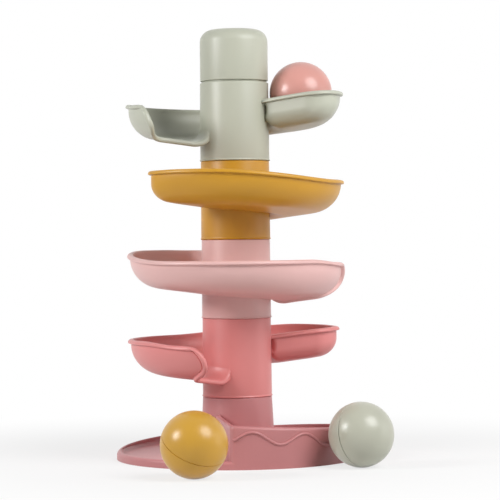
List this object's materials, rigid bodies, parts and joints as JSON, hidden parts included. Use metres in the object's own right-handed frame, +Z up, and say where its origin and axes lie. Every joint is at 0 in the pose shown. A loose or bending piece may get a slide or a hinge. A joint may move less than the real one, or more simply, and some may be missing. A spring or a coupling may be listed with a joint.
{
  "type": "spiral ball tower",
  "caption": "Stacking toddler's ball tower: column levels that plug together, each with a spiral trough that rolls a ball down to the next, on a tray base under a plain cap.",
  "frame": {"origin": "on the floor, on the tower's axis, in the middle of the base's foot", "axes": "+Z up along the tower's axis, -Y towards the viewer of the picture, +X to the viewer's right"},
  "size_m": [0.2155, 0.2738, 0.3425],
  "materials": {
    "mauve_plastic": "satin moulded",
    "coral_plastic": "satin moulded",
    "light_pink_plastic": "satin moulded",
    "mustard_plastic": "satin moulded",
    "sage_plastic": "satin moulded",
    "rose_ball_plastic": "semi-gloss moulded",
    "mustard_ball_plastic": "semi-gloss moulded",
    "sage_ball_plastic": "semi-gloss moulded"
  },
  "bodies": {
    "base": {"base_tray": "mauve_plastic"},
    "coral_level": {"coral_track": "coral_plastic"},
    "light_pink_level": {"light_pink_track": "light_pink_plastic"},
    "mustard_level": {"mustard_track": "mustard_plastic"},
    "sage_level": {"sage_track": "sage_plastic"},
    "cap": {"top_cap": "sage_plastic"},
    "rose_ball": {"rose_ball_groove_shell": "rose_ball_plastic", "rose_ball_tongue_shell": "rose_ball_plastic"},
    "mustard_ball": {"mustard_ball_groove_shell": "mustard_ball_plastic", "mustard_ball_tongue_shell": "mustard_ball_plastic"},
    "sage_ball": {"sage_ball_groove_shell": "sage_ball_plastic", "sage_ball_tongue_shell": "sage_ball_plastic"}
  },
  "joints": [
    {"name": "coral_lift", "type": "slide", "parent": "base", "child": "coral_level", "axis": [0, 0, 1], "range_m": [0, 0.04]},
    {"name": "light_pink_lift", "type": "slide", "parent": "coral_level", "child": "light_pink_level", "axis": [0, 0, 1], "range_m": [0, 0.04]},
    {"name": "mustard_lift", "type": "slide", "parent": "light_pink_level", "child": "mustard_level", "axis": [0, 0, 1], "range_m": [0, 0.04]},
    {"name": "sage_lift", "type": "slide", "parent": "mustard_level", "child": "sage_level", "axis": [0, 0, 1], "range_m": [0, 0.04]},
    {"name": "cap_lift", "type": "slide", "parent": "sage_level", "child": "cap", "axis": [0, 0, 1], "range_m": [0, 0.04]},
    {"name": "rose_ball_roll", "type": "hinge", "parent": "sage_level", "child": "rose_ball", "pos_m": [0, 0, 0.28632], "axis": [-0.0792, -0.0042, 0.9968], "range_deg": [0, 180]},
    {"name": "mustard_ball_roll", "type": "hinge", "parent": "base", "child": "mustard_ball", "pos_m": [-0.03202, -0.15196, 0.025], "axis": [1, 0, 0], "continuous": true},
    {"name": "sage_ball_roll", "type": "hinge", "parent": "base", "child": "sage_ball", "pos_m": [0.09355, -0.08693, 0.025], "axis": [1, 0, 0], "continuous": true}
  ]
}
